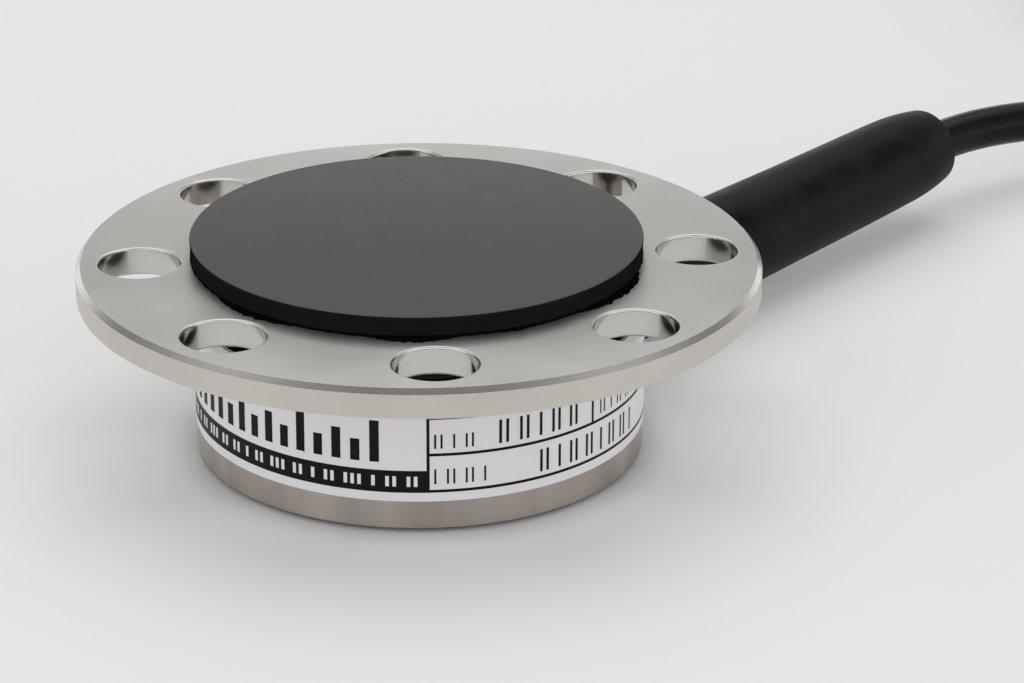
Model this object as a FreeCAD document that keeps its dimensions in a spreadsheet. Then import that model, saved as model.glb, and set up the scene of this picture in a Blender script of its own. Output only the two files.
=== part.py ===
import FreeCAD, Part
import math
import os
import re

import Sketcher
from FreeCAD import Placement, Rotation, Vector

# Flanged compression load cell, in millimetres and degrees. The origin is the centre of the base, +Z is up
# and +X is the way the cable leaves the body.
SIZES = {
    # Turned body: flange on top, gauge cavity below, closed by a cover from underneath
    "flange_radius": 35.0,
    "flange_thickness": 2.95,
    "flange_chamfer": 0.5,
    "cell_height": 20.4,
    "body_radius": 23.0,
    "relief_width": 1.8,
    "relief_depth": 1.6,
    "relief_rise": 0.15,
    "relief_reach": 0.3,
    "relief_corner": 0.4,
    "base_rise": 0.5,
    "base_setback": 1.1,
    "hole_circle": 28.5,
    "hole_radius": 4.2,
    "hole_edge": 0.25,
    "hole_count": 8,
    "cavity_radius": 15.5,
    "web_thickness": 3.5,
    "web_fillet": 1.0,
    "boss_radius": 5.0,
    "boss_bottom": 10.65,
    # Rubber load pad, bonded a little off centre, and the printed tape round the body
    "pad_radius": 23.2,
    "pad_thickness": 2.25,
    "pad_edge": 0.2,
    "pad_shift_x": 0.5,
    "pad_shift_y": 0.8,
    "label_bottom": 3.45,
    "label_height": 12.0,
    "label_thickness": 0.15,
    "label_start": 105.6,
    "label_span": 230.0,
    # Base cover with its sealing ring and countersunk screws
    "recess_radius": 21.0,
    "recess_depth": 1.5,
    "cover_radius": 20.9,
    "cover_thickness": 1.2,
    "seal_radius": 16.6,
    "seal_groove": 1.2,
    "seal_width": 0.9,
    "seal_corner": 0.15,
    "seal_depth": 0.75,
    "screw_circle": 18.8,
    "screw_count": 6,
    "screw_turn": 30.0,
    "screw_radius": 1.0,
    "screw_length": 5.0,
    "screw_head_radius": 1.8,
    "screw_socket": 0.65,
    "screw_clearance": 0.1,
    # Strain gauges under the diaphragm, and the bridge board on the boss
    "gauge_circle": 9.8,
    "gauge_length": 6.0,
    "gauge_width": 4.0,
    "gauge_thickness": 0.1,
    "gauge_turn": 45.0,
    "lead_radius": 0.25,
    "lead_bow": 0.7,
    "board_radius": 12.5,
    "board_flat": 10.5,
    "board_thickness": 1.0,
    "washer_thickness": 0.5,
    "washer_radius": 2.6,
    "board_screw_radius": 1.25,
    "board_screw_length": 6.0,
    "board_head_radius": 2.2,
    "board_head_height": 1.6,
    "board_socket": 0.9,
    "chip_length": 3.2,
    "chip_width": 1.6,
    "chip_height": 0.6,
    "chip_circle": 8.2,
    # Cable outlet: spigot in the wall, rubber former, ferrule, and the sleeve shrunk over them
    "spigot_height": 6.65,
    "spigot_shank": 3.25,
    "spigot_radius": 5.0,
    "spigot_bore": 2.5,
    "spigot_start": 15.1,
    "spigot_seat": 22.5,
    "spigot_end": 28.0,
    "spot_face": 5.2,
    "grip_depth": 0.3,
    "grip_pitch": 2.0,
    "bend_start": 34.0,
    "bend_reach": 4.0,
    "relief_tilt": 1.6,
    "former_gap": 0.2,
    "taper_start": 5.0,
    "former_length": 51.0,
    "former_end": 4.36,
    "sleeve_start": 23.1,
    "sleeve_wall": 0.8,
    "shoulder_length": 7.8,
    "neck_length": 0.3,
    "neck_inner": 2.56,
    "neck_outer": 3.06,
    "clamp_start": 11.6,
    "clamp_length": 2.8,
    "clamp_radius": 3.2,
    "clamp_waist": 0.35,
    "tail_start": 11.2,
    "tail_reach": 52.0,
    "cable_straight": 59.8,
    # Cable, its wires and its coil
    "cable_radius": 2.4,
    "core_radius": 0.6,
    "core_offset": 0.75,
    "core_knee": 0.9,
    "drain_radius": 0.3,
    "drain_reach": 1.8,
    "coil_x": 192.0,
    "coil_outer_turn": 36.5,
    "coil_inner_turn": 19.7,
    "coil_layers": 3,
    "coil_step": 26.5,
    "coil_edge": 1.6,
    "entry_heading": -25.5,
    "entry_length": 19.0,
    "entry_run": 10.0,
    "tie_turn": 75.0,
    "tie_width": 2.6,
    "tie_thickness": 0.9,
    "tie_slack": 0.3,
    "tie_head": 4.6,
    "tie_head_gap": 3.0,
    "tie_tail": 6.0,
    "end_turn": -100.0,
    "end_circle": 22.2,
    "collar_radius": 2.65,
    "collar_length": 12.0,
    "stub_length": 20.0,
    "tail_straight": 3.0,
    "tail_length": 23.0,
}

doc = FreeCAD.newDocument("load_cell")
sheet = doc.addObject("Spreadsheet::Sheet", "sizes")
for row, (alias, number) in enumerate(SIZES.items(), 1):
    sheet.set(f"A{row}", alias)
    sheet.set(f"B{row}", str(number))
    sheet.setAlias(f"B{row}", alias)
doc.recompute()

nodes = []


def bound(expression):
    """The expression with each size's name pointing at its cell."""
    return re.sub(r"[a-z]+(_[a-z]+)+", r"sizes.\g<0>", expression)


def value(expression):
    """The expression's number at the sheet's present sizes."""
    return float(sheet.evalExpression(bound(expression)))


def bind(thing, **expressions):
    """Ties properties of an object to expressions; a double underscore stands for the dot in a path."""
    for path, expression in expressions.items():
        thing.setExpression(path.replace("__", "."), bound(expression))


def node(thing, label):
    """Names an object and lists it as one of the cell's pieces."""
    thing.Label = label
    nodes.append(thing)
    return thing


def new_body(label):
    return node(doc.addObject("PartDesign::Body", label), label)


def origin(body, role):
    return next(f for f in body.Origin.OriginFeatures if f.Role == role)


def sketch_on(body, role, **offsets):
    """A sketch on one of the body's origin planes, moved by expressions in the plane's own axes."""
    sketch = body.newObject("Sketcher::SketchObject", body.Label + "_sketch")
    sketch.AttachmentSupport = (origin(body, role), [""])
    sketch.MapMode = "FlatFace"
    sketch.AttachmentOffset = Placement(Vector(), Rotation(Vector(0, 0, 1), 0))
    for axis, expression in offsets.items():
        path = "Rotation.Angle" if axis == "turn" else "Base." + axis
        sketch.setExpression("AttachmentOffset." + path, bound(expression))
    return sketch


def pin(sketch, item, point, x, y):
    """Holds a point of the sketch at sizes from the sketch's origin."""
    for kind, axis, expression in (("DistanceX", -2, x), ("DistanceY", -1, y)):
        if expression == "0":
            sketch.addConstraint(Sketcher.Constraint("PointOnObject", item, point, axis))
        else:
            rule = Sketcher.Constraint(kind, -1, 1, item, point, value(expression))
            index = sketch.addConstraint(rule)
            sketch.setExpression(f"Constraints[{index}]", bound(expression))


def outline(sketch, corners):
    """A closed outline through the corners. A corner's third value is the radius of the arc to the next."""
    points = [Vector(value(corner[0]), value(corner[1]), 0) for corner in corners]
    ends = []
    for corner, start, end in zip(corners, points, points[1:] + points[:1]):
        if len(corner) == 2:
            ends.append((sketch.addGeometry(Part.LineSegment(start, end), False), 1, 2))
            continue
        radius = value(corner[2])
        chord = end - start
        rise = radius - math.sqrt(radius**2 - chord.Length**2 / 4)
        side = Vector(-chord.y, chord.x, 0).normalize()
        if side.y < 0:
            side = -side
        arc = Part.Arc(start, (start + end) / 2 + side * rise, end)
        item = sketch.addGeometry(arc, False)
        forward = (sketch.getPoint(item, 1) - start).Length < (sketch.getPoint(item, 1) - end).Length
        ends.append((item, 1, 2) if forward else (item, 2, 1))
        index = sketch.addConstraint(Sketcher.Constraint("Radius", item, radius))
        sketch.setExpression(f"Constraints[{index}]", bound(corner[2]))
    for (item, first, last), (following, start, _) in zip(ends, ends[1:] + ends[:1]):
        sketch.addConstraint(Sketcher.Constraint("Coincident", item, last, following, start))
    for (item, first, _), corner in zip(ends, corners):
        pin(sketch, item, first, corner[0], corner[1])


def disc(sketch, x, y, radius):
    """A circle with its centre and radius bound to sizes."""
    circle = Part.Circle(Vector(value(x), value(y), 0), Vector(0, 0, 1), value(radius))
    item = sketch.addGeometry(circle, False)
    if x == "0" and y == "0":
        sketch.addConstraint(Sketcher.Constraint("Coincident", item, 3, -1, 1))
    else:
        pin(sketch, item, 3, x, y)
    index = sketch.addConstraint(Sketcher.Constraint("Radius", item, value(radius)))
    sketch.setExpression(f"Constraints[{index}]", bound(radius))


def revolved(body, sketch, axis="V_Axis", kind="Revolution", angle="360"):
    """The sketch turned about one of its own axes, as added or removed material."""
    turned = body.newObject("PartDesign::" + kind, f"{body.Label}_{kind.lower()}")
    turned.Profile = sketch
    turned.ReferenceAxis = (sketch, [axis])
    bind(turned, Angle=angle)
    doc.recompute()
    return turned


def raised(body, sketch, length, midplane=False):
    """The sketch made a solid along its plane's normal."""
    pad = body.newObject("PartDesign::Pad", body.Label + "_pad")
    pad.Profile = sketch
    pad.Midplane = midplane
    bind(pad, Length=length)
    doc.recompute()
    return pad


def sunk(body, sketch, length):
    """The sketch cut along its plane's normal."""
    before = body.Shape.Volume
    pocket = body.newObject("PartDesign::Pocket", body.Label + "_pocket")
    pocket.Profile = sketch
    pocket.Reversed = True
    bind(pocket, Length=length)
    doc.recompute()
    if body.Shape.Volume > before - 0.1:
        raise RuntimeError(f"a pocket of {body.Label} cuts nothing")
    return pocket


def drilled(body, centre, corners):
    """A hole turned about an upright line at a distance from the body's axis."""
    sketch = sketch_on(body, "XZ_Plane")
    outline(sketch, corners)
    line = Part.LineSegment(Vector(value(centre), 0, 0), Vector(value(centre), 1, 0))
    item = sketch.addGeometry(line, True)
    sketch.addConstraint(Sketcher.Constraint("Vertical", item))
    pin(sketch, item, 1, centre, "0")
    return revolved(body, sketch, "Axis0", "Groove")


def around(body, feature, count):
    """The feature repeated round the body's axis."""
    pattern = body.newObject("PartDesign::PolarPattern", body.Label + "_pattern")
    pattern.Originals = [feature]
    pattern.Axis = (origin(body, "Z_Axis"), [""])
    pattern.Angle = 360
    bind(pattern, Occurrences=count)
    body.Tip = pattern
    doc.recompute()
    return pattern


def rounded(body, radius, rings):
    """A fillet on the round edges that lie at the given radii and heights."""
    base = body.Tip
    places = [(value(ring), value(height)) for ring, height in rings]
    names = []
    for number, edge in enumerate(base.Shape.Edges, 1):
        if not isinstance(edge.Curve, Part.Circle):
            continue
        for ring, height in places:
            if abs(edge.Curve.Radius - ring) < 0.01 and abs(edge.Curve.Center.z - height) < 0.01:
                names.append(f"Edge{number}")
    fillet = body.newObject("PartDesign::Fillet", body.Label + "_fillet")
    fillet.Base = (base, names)
    bind(fillet, Radius=radius)
    doc.recompute()
    return fillet


def route(points):
    """Straight runs joined by tangent arcs, each arc as large as its two runs allow."""
    edges = []
    radii = []
    last = points[0]
    for before, corner, after in zip(points, points[1:], points[2:]):
        back = before - corner
        on = after - corner
        reach = 0.45 * min(back.Length, on.Length)
        back.normalize()
        on.normalize()
        half = (math.pi - back.getAngle(on)) / 2
        radius = reach / math.tan(half)
        inward = (back + on).normalize()
        middle = corner + inward * (radius / math.cos(half) - radius)
        edges.append(Part.LineSegment(last, corner + back * reach).toShape())
        edges.append(Part.Arc(corner + back * reach, middle, corner + on * reach).toShape())
        radii.append(radius)
        last = corner + on * reach
    edges.append(Part.LineSegment(last, points[-1]).toShape())
    return Part.Wire(edges), radii


def swept(wire, start, heading, radius):
    """A round tube along a wire, with its volume compared with section times length."""
    ring = Part.Wire(Part.Circle(start, heading, radius).toShape())
    solid = wire.makePipeShell([ring], True, False)
    expected = math.pi * radius**2 * wire.Length
    if abs(solid.Volume / expected - 1) > 0.02:
        raise RuntimeError(f"a tube holds {solid.Volume:.1f} and should hold {expected:.1f}")
    return solid


def tube(label, points, radius):
    """A wire or cable along a route of points."""
    wire, radii = route(points)
    feature = node(doc.addObject("Part::Feature", label), label)
    feature.Shape = swept(wire, points[0], points[1] - points[0], radius)
    print(label, "length", round(wire.Length, 1), "bend radii", [round(r, 1) for r in radii])
    return feature


# Sensing body: one turned piece, with a groove that clears the flange's seat and an undercut base edge.
# The load on the pad bends the web between the boss and the wall.
web = "cell_height - web_thickness"
flange_under = "cell_height - flange_thickness"
relief_over = flange_under + " + relief_rise"
relief_under = flange_under + " - relief_width"
relief_root = "body_radius - relief_depth"
body = new_body("sensing_body")
sketch = sketch_on(body, "XZ_Plane")
outline(
    sketch,
    [
        ("0", "cell_height"),
        ("flange_radius - flange_chamfer", "cell_height"),
        ("flange_radius", "cell_height - flange_chamfer"),
        ("flange_radius", flange_under),
        ("body_radius + relief_reach", flange_under),
        ("body_radius + relief_reach", relief_over),
        (relief_root, relief_over),
        (relief_root, relief_under),
        ("body_radius", relief_under),
        ("body_radius", "base_rise"),
        ("body_radius - base_setback", "0"),
        ("recess_radius", "0"),
        ("recess_radius", "recess_depth"),
        ("seal_radius + seal_groove / 2", "recess_depth"),
        ("seal_radius + seal_groove / 2", "recess_depth + seal_depth"),
        ("seal_radius - seal_groove / 2", "recess_depth + seal_depth"),
        ("seal_radius - seal_groove / 2", "recess_depth"),
        ("cavity_radius", "recess_depth"),
        ("cavity_radius", web),
        ("boss_radius", web),
        ("boss_radius", "boss_bottom"),
        ("0", "boss_bottom"),
    ],
)
revolved(body, sketch)
rounded(body, "web_fillet", [("cavity_radius", web), ("boss_radius", web)])
rounded(body, "relief_corner", [(relief_root, relief_over), (relief_root, relief_under)])

# Eight clearance holes through the flange, rounded at the upper edge and chamfered at the lower one
hole = drilled(
    body,
    "hole_circle",
    [
        ("hole_circle", "cell_height"),
        ("hole_circle + hole_radius + hole_edge", "cell_height", "hole_edge"),
        ("hole_circle + hole_radius", "cell_height - hole_edge"),
        ("hole_circle + hole_radius", flange_under + " + hole_edge"),
        ("hole_circle + hole_radius + hole_edge", flange_under),
        ("hole_circle", flange_under),
    ],
)
around(body, hole, "hole_count")

# Cable bore through the wall with a flat seat outside, tapped holes for the cover and one in the boss
bore = sketch_on(body, "YZ_Plane", z="cavity_radius - 2")
disc(bore, "0", "spigot_height", "spigot_shank")
sunk(body, bore, "body_radius - cavity_radius + 4")
seat = sketch_on(body, "YZ_Plane", z="spigot_seat")
disc(seat, "0", "spigot_height", "spot_face")
sunk(body, seat, "body_radius - spigot_seat + 2")
tapped = sketch_on(body, "XY_Plane", z="recess_depth")
disc(tapped, "screw_circle * cos(screw_turn)", "screw_circle * sin(screw_turn)", "screw_radius")
around(body, sunk(body, tapped, "screw_length"), "screw_count")
centre = sketch_on(body, "XY_Plane", z="boss_bottom")
disc(centre, "0", "0", "board_screw_radius")
sunk(body, centre, "board_screw_length")

# Load pad: rubber disc with a softened upper edge
body = new_body("load_pad")
sketch = sketch_on(body, "XY_Plane", z="cell_height")
disc(sketch, "0", "0", "pad_radius")
raised(body, sketch, "pad_thickness")
rounded(body, "pad_edge", [("pad_radius", "cell_height + pad_thickness")])
bind(body, Placement__Base__x="pad_shift_x", Placement__Base__y="pad_shift_y")

# Label: a strip of printed tape that stops short of the cable on both sides
body = new_body("identification_label")
sketch = sketch_on(body, "XZ_Plane")
outline(
    sketch,
    [
        ("body_radius", "label_bottom"),
        ("body_radius + label_thickness", "label_bottom"),
        ("body_radius + label_thickness", "label_bottom + label_height"),
        ("body_radius", "label_bottom + label_height"),
    ],
)
revolved(body, sketch, angle="label_span")
body.Placement = Placement(Vector(), Rotation(Vector(0, 0, 1), value("label_start")))
bind(body, Placement__Rotation__Angle="label_start")

# Base cover: thin disc in the recess, with countersunk holes
cover_bottom = "recess_depth - cover_thickness"
body = new_body("base_cover")
sketch = sketch_on(body, "XY_Plane", z=cover_bottom)
disc(sketch, "0", "0", "cover_radius")
raised(body, sketch, "cover_thickness")
sink_depth = cover_bottom + " + screw_head_radius - screw_radius"
sink = drilled(
    body,
    "screw_circle",
    [
        ("screw_circle", cover_bottom),
        ("screw_circle + screw_head_radius", cover_bottom),
        ("screw_circle + screw_radius + screw_clearance", sink_depth),
        ("screw_circle + screw_radius + screw_clearance", "recess_depth"),
        ("screw_circle", "recess_depth"),
    ],
)
around(body, sink, "screw_count")
body.Placement = Placement(Vector(), Rotation(Vector(0, 0, 1), value("screw_turn")))
bind(body, Placement__Rotation__Angle="screw_turn")

# Sealing ring of square section, squeezed to the depth of its groove
body = new_body("cover_seal")
sketch = sketch_on(body, "XZ_Plane")
outline(
    sketch,
    [
        ("seal_radius - seal_width / 2", "recess_depth + seal_corner"),
        ("seal_radius - seal_width / 2 + seal_corner", "recess_depth"),
        ("seal_radius + seal_width / 2 - seal_corner", "recess_depth"),
        ("seal_radius + seal_width / 2", "recess_depth + seal_corner"),
        ("seal_radius + seal_width / 2", "recess_depth + seal_depth - seal_corner"),
        ("seal_radius + seal_width / 2 - seal_corner", "recess_depth + seal_depth"),
        ("seal_radius - seal_width / 2 + seal_corner", "recess_depth + seal_depth"),
        ("seal_radius - seal_width / 2", "recess_depth + seal_depth - seal_corner"),
    ],
)
revolved(body, sketch)

# One countersunk screw with a hexagon socket, then six of them round the cover
form = doc.addObject("PartDesign::Body", "screw_form")
sketch = sketch_on(form, "XZ_Plane")
outline(
    sketch,
    [
        ("0", cover_bottom),
        ("screw_head_radius", cover_bottom),
        ("screw_radius", cover_bottom + " + screw_head_radius - screw_radius"),
        ("screw_radius", cover_bottom + " + screw_length"),
        ("0", cover_bottom + " + screw_length"),
    ],
)
revolved(form, sketch)
socket = sketch_on(form, "XY_Plane", z=cover_bottom)
outline(socket, [(f"screw_socket * cos({60 * k})", f"screw_socket * sin({60 * k})") for k in range(6)])
sunk(form, socket, "screw_socket")
screws = node(doc.addObject("Part::Feature", "cover_screws"), "cover_screws")
copies = []
for k in range(int(value("screw_count"))):
    angle = value("screw_turn") + 360 * k / value("screw_count")
    copy = form.Shape.copy()
    copy.translate(Vector(value("screw_circle"), 0, 0))
    copy.rotate(Vector(), Vector(0, 0, 1), angle)
    copies.append(copy)
screws.Shape = Part.makeCompound(copies)

# Four foil gauges, set radially under the web, and the fine leads down to the board
board_top = "boss_bottom - washer_thickness"
for number in range(1, 5):
    turn = value("gauge_turn") + 90 * (number - 1)
    gauge = new_body(f"strain_gauge_{number}")
    sketch = sketch_on(gauge, "XY_Plane", z=web + " - gauge_thickness")
    outline(
        sketch,
        [
            ("gauge_circle - gauge_length / 2", "-gauge_width / 2"),
            ("gauge_circle + gauge_length / 2", "-gauge_width / 2"),
            ("gauge_circle + gauge_length / 2", "gauge_width / 2"),
            ("gauge_circle - gauge_length / 2", "gauge_width / 2"),
        ],
    )
    raised(gauge, sketch, "gauge_thickness")
    gauge.Placement = Placement(Vector(), Rotation(Vector(0, 0, 1), turn))
    top = value(web + " - gauge_thickness")
    end = value("gauge_circle + gauge_length / 2 - 2 * lead_radius")
    bow = end + value("lead_bow")
    foot = value("board_radius - 4 * lead_radius")
    bottom = value(board_top)
    stand = 4 * value("lead_radius")
    lead_route = [
        Vector(end, 0, top),
        Vector(end, 0, top - stand),
        Vector(bow, 0, (top + bottom) / 2),
        Vector(foot, 0, bottom + stand),
        Vector(foot, 0, bottom),
    ]
    lead = tube(f"gauge_lead_{number}", lead_route, value("lead_radius"))
    lead.Placement = Placement(Vector(), Rotation(Vector(0, 0, 1), turn))

# Bridge board: a disc with a flat beside the cable, held to the boss by one screw over a washer
board_under = board_top + " - board_thickness"
body = new_body("bridge_board")
sketch = sketch_on(body, "XY_Plane", z=board_under)
disc(sketch, "0", "0", "board_radius")
disc(sketch, "0", "0", "board_screw_radius + screw_clearance")
raised(body, sketch, "board_thickness")
flat = sketch_on(body, "XY_Plane", z=board_under)
outline(
    flat,
    [
        ("board_flat", "-board_radius"),
        ("board_radius + 1", "-board_radius"),
        ("board_radius + 1", "board_radius"),
        ("board_flat", "board_radius"),
    ],
)
sunk(body, flat, "board_thickness")

body = new_body("board_washer")
sketch = sketch_on(body, "XY_Plane", z=board_top)
disc(sketch, "0", "0", "washer_radius")
disc(sketch, "0", "0", "board_screw_radius + screw_clearance")
raised(body, sketch, "washer_thickness")

body = new_body("board_screw")
sketch = sketch_on(body, "XZ_Plane")
outline(
    sketch,
    [
        ("0", board_under + " - board_head_height"),
        ("board_head_radius * 0.8", board_under + " - board_head_height"),
        ("board_head_radius", board_under + " - board_head_height * 0.7"),
        ("board_head_radius", board_under),
        ("board_screw_radius", board_under),
        ("board_screw_radius", "boss_bottom + board_screw_length - 1"),
        ("0", "boss_bottom + board_screw_length - 1"),
    ],
)
revolved(body, sketch)
socket = sketch_on(body, "XY_Plane", z=board_under + " - board_head_height")
outline(socket, [(f"board_socket * cos({60 * k})", f"board_socket * sin({60 * k})") for k in range(6)])
sunk(body, socket, "board_socket")

# Chip resistors on the board's underside, away from the cable
for label, turn in (("span_resistor", 110), ("zero_resistor", 180), ("thermal_resistor", 250)):
    chip = node(doc.addObject("Part::Box", label), label)
    bind(chip, Length="chip_width", Width="chip_length", Height="chip_height")
    spin = Rotation(Vector(0, 0, 1), turn)
    corner = Vector(value("chip_circle - chip_width / 2"), value("-chip_length / 2"), 0)
    chip.Placement = Placement(spin.multVec(corner), spin)
    bind(chip, Placement__Base__z=board_under + " - chip_height")

# Outlet spigot: shank in the wall, shoulder on the flat seat, and grooves that grip the sleeve
body = new_body("gland_spigot")
sketch = sketch_on(body, "XZ_Plane", y="spigot_height")
grooves = []
for k in range(1, 3):
    place = f"spigot_seat + {k} * grip_pitch"
    grooves.append((place + " - 0.6", "spigot_radius"))
    grooves.append((place, "spigot_radius - grip_depth"))
    grooves.append((place + " + 0.1", "spigot_radius"))
outline(
    sketch,
    [
        ("spigot_start", "spigot_bore"),
        ("spigot_start", "spigot_shank"),
        ("spigot_seat", "spigot_shank"),
        ("spigot_seat", "spigot_radius"),
        *grooves,
        ("spigot_end", "spigot_radius"),
        ("spigot_end", "spigot_bore"),
    ],
)
revolved(body, sketch, "H_Axis")

# Ferrule crimped on the cable inside the cavity, with a pinched waist
body = new_body("cable_clamp")
sketch = sketch_on(body, "XZ_Plane", y="spigot_height")
outline(
    sketch,
    [
        ("clamp_start", "cable_radius"),
        ("clamp_start", "clamp_radius"),
        ("clamp_start + clamp_length * 0.3", "clamp_radius"),
        ("clamp_start + clamp_length * 0.4", "clamp_radius - clamp_waist"),
        ("clamp_start + clamp_length * 0.6", "clamp_radius - clamp_waist"),
        ("clamp_start + clamp_length * 0.7", "clamp_radius"),
        ("clamp_start + clamp_length", "clamp_radius"),
        ("clamp_start + clamp_length", "cable_radius"),
    ],
)
revolved(body, sketch, "H_Axis")


def bent_pipe(body, start, end, radii):
    """A pipe on the outlet's line: level through the wall, a slight bend, then straight and rising."""
    spine = sketch_on(body, "XZ_Plane", y="spigot_height")
    level = "bend_start - bend_reach"
    rise_x = "bend_start + bend_reach * cos(relief_tilt)"
    rise_y = "bend_reach * sin(relief_tilt)"
    end_x = f"bend_start + {end} * cos(relief_tilt)"
    end_y = f"{end} * sin(relief_tilt)"
    places = ((start, "0"), (level, "0"), (rise_x, rise_y), (end_x, end_y))
    corners = [Vector(value(x), value(y), 0) for x, y in places]
    tilt = math.radians(value("relief_tilt"))
    swing = value("bend_reach") / math.tan(tilt / 2)
    centre = corners[1] + Vector(0, swing, 0)
    circle = Part.Circle(centre, Vector(0, 0, 1), swing)
    spine.addGeometry(Part.LineSegment(corners[0], corners[1]), False)
    spine.addGeometry(Part.ArcOfCircle(circle, -math.pi / 2, -math.pi / 2 + tilt), False)
    spine.addGeometry(Part.LineSegment(corners[2], corners[3]), False)
    spine.addConstraint(Sketcher.Constraint("Tangent", 0, 2, 1, 1))
    spine.addConstraint(Sketcher.Constraint("Coincident", 1, 2, 2, 1))
    pin(spine, 0, 1, start, "0")
    pin(spine, 0, 2, level, "0")
    pin(spine, 2, 1, rise_x, rise_y)
    pin(spine, 2, 2, end_x, end_y)
    section = sketch_on(body, "YZ_Plane", z=start)
    for radius in radii:
        disc(section, "0", "spigot_height", radius)
    pipe = body.newObject("PartDesign::AdditivePipe", body.Label + "_pipe")
    pipe.Profile = section
    pipe.Spine = (spine, ["Edge1", "Edge2", "Edge3"])
    doc.recompute()
    return pipe


# Rubber former beyond the spigot, which holds the sleeve to its round, tapering shape
body = new_body("relief_former")
bent_pipe(body, "spigot_end + former_gap", "taper_start", ["spigot_radius", "spigot_bore"])
sketch = sketch_on(body, "XZ_Plane", x="bend_start", y="spigot_height", turn="relief_tilt")
outline(
    sketch,
    [
        ("taper_start", "spigot_bore"),
        ("taper_start", "spigot_radius"),
        ("former_length", "former_end"),
        ("former_length", "spigot_bore"),
    ],
)
revolved(body, sketch, "H_Axis")

# Heat-shrink sleeve over spigot and former, drawn in at its end to grip the cable
body = new_body("heat_shrink_sleeve")
bent_pipe(body, "sleeve_start", "taper_start", ["spigot_radius + sleeve_wall", "spigot_radius"])
sketch = sketch_on(body, "XZ_Plane", x="bend_start", y="spigot_height", turn="relief_tilt")
drop = "(former_end + sleeve_wall - neck_outer)"
inner_drop = "(former_end - neck_inner)"
inner_length = "(shoulder_length - sleeve_wall)"
outline(
    sketch,
    [
        ("taper_start", "spigot_radius"),
        ("taper_start", "spigot_radius + sleeve_wall"),
        ("former_length", "former_end + sleeve_wall", f"(shoulder_length^2 + {drop}^2) / (2 * {drop})"),
        ("former_length + shoulder_length", "neck_outer"),
        ("former_length + shoulder_length + neck_length", "neck_outer"),
        ("former_length + shoulder_length + neck_length", "neck_inner"),
        (
            f"former_length + {inner_length}",
            "neck_inner",
            f"({inner_length}^2 + {inner_drop}^2) / (2 * {inner_drop})",
        ),
        ("former_length", "former_end"),
    ],
)
revolved(body, sketch, "H_Axis")

# Cable inside the outlet, from its stripped end in the cavity to the sleeve's shoulder
body = new_body("cable_tail")
bent_pipe(body, "tail_start", "tail_reach", ["cable_radius"])

# Four cores and the screen's drain wire, from the cable's end to the board's pads
start = value("tail_start")
height = value("spigot_height")
offset = value("core_offset")
pad_height = value(board_under)
cores = (
    ("core_red", 1, 1, Vector(8.0, 3.2, pad_height)),
    ("core_green", -1, 1, Vector(8.0, -3.2, pad_height)),
    ("core_yellow", 1, -1, Vector(6.4, 5.2, pad_height)),
    ("core_blue", -1, -1, Vector(6.4, -5.2, pad_height)),
)
for label, side, level, pad in cores:
    exit_point = Vector(start, side * offset, height + level * offset)
    straight = exit_point - Vector(2 * value("core_radius"), 0, 0)
    knee = Vector(pad.x, pad.y, exit_point.z)
    before = knee + (straight - knee).normalize() * value("core_knee")
    above = knee + Vector(0, 0, value("core_knee"))
    tube(label, [exit_point, straight, before, above, pad], value("core_radius"))
drain_end = start - value("drain_reach")
drain = [Vector(start, 0, height), Vector(drain_end, 0, height), Vector(drain_end, 0, pad_height)]
tube("screen_drain", drain, value("drain_radius"))

# Free cable: out of the sleeve, down to the floor and on to the coil. The first two points are on the
# sleeve's line and the last two on the tangent to the coil's outer turn.
tilt = math.radians(value("relief_tilt"))


def on_outlet(distance):
    """A point on the rising part of the outlet's line."""
    return Vector(value("bend_start") + distance * math.cos(tilt), 0, height + distance * math.sin(tilt))


cable = value("cable_radius")
heading = math.radians(value("entry_heading"))
entry_way = Vector(math.cos(heading), math.sin(heading), 0)
coil_centre = Vector(value("coil_x"), 0, 0)
outer = value("coil_outer_turn")
entry = coil_centre + Vector(math.sin(heading) * outer, -math.cos(heading) * outer, cable)
stub_start = entry - entry_way * value("entry_length")
cable_route = [
    on_outlet(value("tail_reach")),
    on_outlet(value("cable_straight")),
    Vector(104.0, -2.4, 8.15),
    Vector(119.0, -6.5, 6.1),
    Vector(136.0, -11.8, 3.6),
    stub_start - entry_way * value("entry_run"),
    stub_start,
]
tube("cable_run", cable_route, cable)

# Coil of the stored length: its outer shape, with the turn that comes in and the end that lies on top
ring_inner = "coil_inner_turn - cable_radius"
ring_outer = "coil_outer_turn + cable_radius"
layer = "2 * cable_radius"
ring_profile = doc.addObject("PartDesign::Body", "coil_ring")
sketch = sketch_on(ring_profile, "XZ_Plane")
outline(
    sketch,
    [
        (ring_inner, "coil_edge"),
        (ring_inner + " + coil_edge", "0"),
        (ring_outer + " - coil_edge", "0"),
        (ring_outer, "coil_edge"),
        (ring_outer, f"coil_layers * {layer} - coil_edge"),
        (ring_outer + " - coil_edge", f"coil_layers * {layer}"),
        ("coil_step + coil_edge", f"coil_layers * {layer}"),
        ("coil_step", f"coil_layers * {layer} - coil_edge"),
        ("coil_step", f"(coil_layers - 1) * {layer}"),
        (ring_inner + " + coil_edge", f"(coil_layers - 1) * {layer}"),
        (ring_inner, f"(coil_layers - 1) * {layer} - coil_edge"),
    ],
)
revolved(ring_profile, sketch)
bind(ring_profile, Placement__Base__x="coil_x")

entry_stub = doc.addObject("Part::Cylinder", "entry_stub")
bind(entry_stub, Radius="cable_radius", Height="entry_length")
entry_stub.Placement = Placement(stub_start, Rotation(Vector(0, 0, 1), entry_way))


def along_end(angle, circle, height):
    """A point of the cable's end, by its angle round the coil."""
    turned = math.radians(angle)
    return coil_centre + Vector(circle * math.cos(turned), circle * math.sin(turned), height)


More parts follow.
